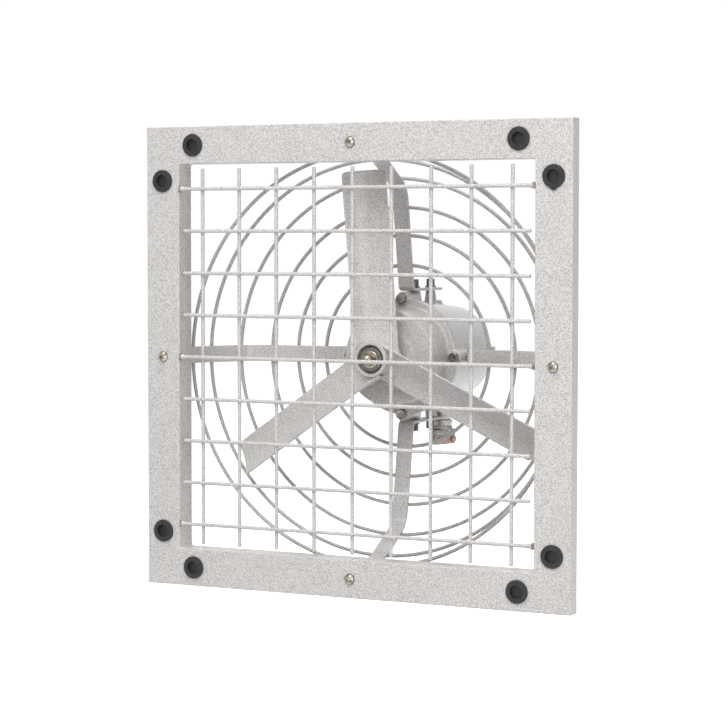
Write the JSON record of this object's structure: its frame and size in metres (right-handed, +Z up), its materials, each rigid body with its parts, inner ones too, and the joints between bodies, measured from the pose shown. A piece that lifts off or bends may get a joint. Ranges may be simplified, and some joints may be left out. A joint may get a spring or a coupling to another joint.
{
  "type": "exhaust fan",
  "caption": "Square wall exhaust fan: pressed frame, welded front wire grille, cambered impeller, and a flanged motor carried behind on bent stays inside a ring guard.",
  "frame": {"origin": "on the fan's axis, in the plane of the outer lip's rear edge, which meets the wall", "axes": "+Y along the shaft from the grille to the motor, +Z up, +X to the right seen from the front"},
  "size_m": [0.49, 0.2589, 0.49],
  "materials": {
    "hammer_paint": "light grey hammered paint, satin",
    "black_rubber": "matt black rubber",
    "bright_steel": "bright zinc plate",
    "dark_steel": "dark oiled steel",
    "bearing_steel": "ground steel",
    "electrical_steel": "stacked laminations",
    "enamelled_copper": "enamelled copper wire",
    "nickel_brass": "nickel plated brass"
  },
  "bodies": {
    "fan_frame": {"frame": "hammer_paint", "front_grille": "hammer_paint", "front_cover": "hammer_paint", "motor_housing": "hammer_paint", "guard_ring_1": "hammer_paint", "guard_ring_2": "hammer_paint", "guard_ring_3": "hammer_paint", "guard_ring_4": "hammer_paint", "guard_ring_5": "hammer_paint", "guard_ring_6": "hammer_paint", "stay_top": "hammer_paint", "stay_right": "hammer_paint", "stay_bottom": "hammer_paint", "stay_left": "hammer_paint", "rubber_plug_1": "black_rubber", "rubber_plug_2": "black_rubber", "rubber_plug_3": "black_rubber", "rubber_plug_4": "black_rubber", "rubber_plug_5": "black_rubber", "rubber_plug_6": "black_rubber", "rubber_plug_7": "black_rubber", "rubber_plug_8": "black_rubber", "shaft_seal": "black_rubber", "stay_screw_top": "bright_steel", "stay_screw_right": "bright_steel", "stay_screw_bottom": "bright_steel", "stay_screw_left": "bright_steel", "gland_screw_front": "bright_steel", "gland_screw_rear": "bright_steel", "cover_bolt_top": "dark_steel", "cover_bolt_right": "dark_steel", "cover_bolt_bottom": "dark_steel", "cover_bolt_left": "dark_steel", "foot_bolt_front_top": "dark_steel", "foot_bolt_front_right": "dark_steel", "foot_bolt_front_bottom": "dark_steel", "foot_bolt_front_left": "dark_steel", "foot_bolt_rear_top": "dark_steel", "foot_bolt_rear_right": "dark_steel", "foot_bolt_rear_bottom": "dark_steel", "foot_bolt_rear_left": "dark_steel", "front_bearing_outer": "bearing_steel", "rear_bearing_outer": "bearing_steel", "stator_core": "electrical_steel", "winding_front": "enamelled_copper", "winding_rear": "enamelled_copper", "gland_body": "nickel_brass", "gland_nut": "nickel_brass", "gland_saddle": "nickel_brass", "gland_clamp": "nickel_brass"},
    "rotor": {"impeller": "hammer_paint", "shaft": "bearing_steel", "shaft_key": "bearing_steel", "hub_washer": "bright_steel", "hub_nut": "nickel_brass", "rotor_core": "electrical_steel", "front_bearing_inner": "bearing_steel", "rear_bearing_inner": "bearing_steel"},
    "front_balls": {"front_ball_cage": "bearing_steel"},
    "rear_balls": {"rear_ball_cage": "bearing_steel"}
  },
  "joints": [
    {"name": "rotor_spin", "type": "hinge", "parent": "fan_frame", "child": "rotor", "pos_m": [0, 0, 0], "axis": [0, 1, 0], "continuous": true},
    {"name": "front_balls_roll", "type": "hinge", "parent": "fan_frame", "child": "front_balls", "pos_m": [0, 0, 0], "axis": [0, 1, 0], "continuous": true},
    {"name": "rear_balls_roll", "type": "hinge", "parent": "fan_frame", "child": "rear_balls", "pos_m": [0, 0, 0], "axis": [0, 1, 0], "continuous": true}
  ],
  "couplings": [
    {"joint": "front_balls_roll", "follows": "rotor_spin", "ratio": 0.389},
    {"joint": "rear_balls_roll", "follows": "rotor_spin", "ratio": 0.389}
  ]
}
